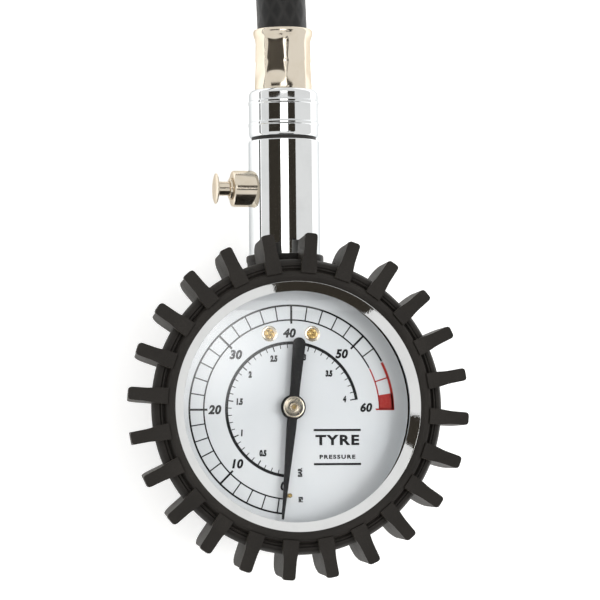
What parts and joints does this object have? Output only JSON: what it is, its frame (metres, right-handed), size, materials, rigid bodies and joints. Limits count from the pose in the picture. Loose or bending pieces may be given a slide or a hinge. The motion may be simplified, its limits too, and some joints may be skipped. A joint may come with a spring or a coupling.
{
  "type": "tyre pressure gauge",
  "caption": "Dial tyre pressure gauge in a lugged rubber boot, with a chrome stem, push-button bleed valve, swivel collar, short hose and angled chuck.",
  "frame": {"origin": "on the dial's axis, in the plane of the boot's back that the gauge lies on", "axes": "+Z out of the dial, +Y along the stem towards the hose, +X to the dial's right"},
  "size_m": [0.159, 0.2013, 0.0284],
  "materials": {
    "boot_rubber": "matte moulded rubber, black-brown",
    "chrome": "polished chrome plate",
    "warm_nickel": "bright nickel plate with a warm cast",
    "brass": "machined brass",
    "bright_steel": "turned steel",
    "spring_bronze": "drawn phosphor bronze",
    "clear_lens": "clear polished",
    "dial_white": "satin silvery white, printed scale",
    "pointer_black": "satin black",
    "seal_rubber": "black nitrile",
    "hose_rubber": "black braided rubber hose, satin cover"
  },
  "bodies": {
    "root": {"boot": "boot_rubber", "case": "chrome", "relief_plug": "seal_rubber", "case_screws": "bright_steel", "bezel": "chrome", "lens_gasket": "seal_rubber", "lens": "clear_lens", "dial_plate": "dial_white", "dial_screws": "brass", "stop_pin": "brass", "bourdon_tube": "spring_bronze", "movement_back_plate": "brass", "movement_front_plate": "brass", "movement_pillars": "brass", "movement_screws": "bright_steel", "hairspring": "spring_bronze", "hairspring_stud": "brass", "socket_block": "brass", "socket_gasket": "seal_rubber", "stem": "chrome", "bleed_body": "warm_nickel", "bleed_gland": "brass", "bleed_spring": "bright_steel", "check_spring": "bright_steel", "hose_tail": "brass", "swivel_washer": "seal_rubber", "gauge_ferrule": "warm_nickel", "hose": "hose_rubber", "chuck_ferrule": "warm_nickel", "chuck_tail": "brass", "chuck_nut": "chrome"},
    "pointer_set": {"pointer": "pointer_black", "pointer_bush": "warm_nickel", "pinion_arbor": "brass"},
    "sector": {"sector_gear": "brass", "sector_arbor": "bright_steel", "tail_pin": "bright_steel"},
    "tube_end": {"tube_tip": "brass", "tip_pin": "bright_steel"},
    "link": {"tip_link": "brass"},
    "bleed_plunger": {"bleed_button": "warm_nickel", "bleed_seal": "seal_rubber"},
    "poppet": {"check_poppet": "brass"},
    "swivel_collar": {"collar": "chrome"},
    "chuck": {"chuck_body": "chrome", "chuck_cap": "chrome", "chuck_seal": "seal_rubber", "depressor": "brass"}
  },
  "joints": [
    {"name": "sector_turn", "type": "hinge", "parent": "root", "child": "sector", "pos_m": [-0.00825, -0.0036, 0.0108], "axis": [0, 0, 1], "range_deg": [0, 33], "stiffness_Nm_per_rad": 0.02, "springref_deg": -1.15},
    {"name": "pointer_turn", "type": "hinge", "parent": "root", "child": "pointer_set", "pos_m": [0, 0, 0.0108], "axis": [0, 0, 1], "range_deg": [-264, 0], "deforming": ["hairspring"]},
    {"name": "tip_swing", "type": "hinge", "parent": "root", "child": "tube_end", "pos_m": [0.00352, -0.00521, 0.012], "axis": [0, 0, 1], "range_deg": [0, 8.7], "deforming": ["bourdon_tube"]},
    {"name": "link_turn", "type": "hinge", "parent": "tube_end", "child": "link", "pos_m": [-0.00887, 0.00325, 0.0116], "axis": [0, 0, 1], "range_deg": [-9.8, 0]},
    {"name": "bleed_press", "type": "slide", "parent": "root", "child": "bleed_plunger", "axis": [1, 0, 0], "range_m": [0, 0.0012], "stiffness_N_per_m": 600, "springref_m": -0.001, "deforming": ["bleed_spring"]},
    {"name": "check_lift", "type": "slide", "parent": "root", "child": "poppet", "axis": [0, -1, 0], "range_m": [0, 0.0006], "stiffness_N_per_m": 150, "springref_m": -0.001, "deforming": ["check_spring"]},
    {"name": "collar_spin", "type": "hinge", "parent": "root", "child": "swivel_collar", "pos_m": [0, 0.06, 0.0145], "axis": [0, 1, 0], "continuous": true},
    {"name": "chuck_swivel", "type": "hinge", "parent": "root", "child": "chuck", "pos_m": [-0.1176, 0.008, 0.0074], "axis": [0, 1, 0], "continuous": true}
  ],
  "couplings": [
    {"joint": "pointer_turn", "follows": "sector_turn", "ratio": -8},
    {"joint": "tip_swing", "follows": "sector_turn", "ratio": 0.26267},
    {"joint": "link_turn", "follows": "sector_turn", "ratio": -0.295}
  ]
}
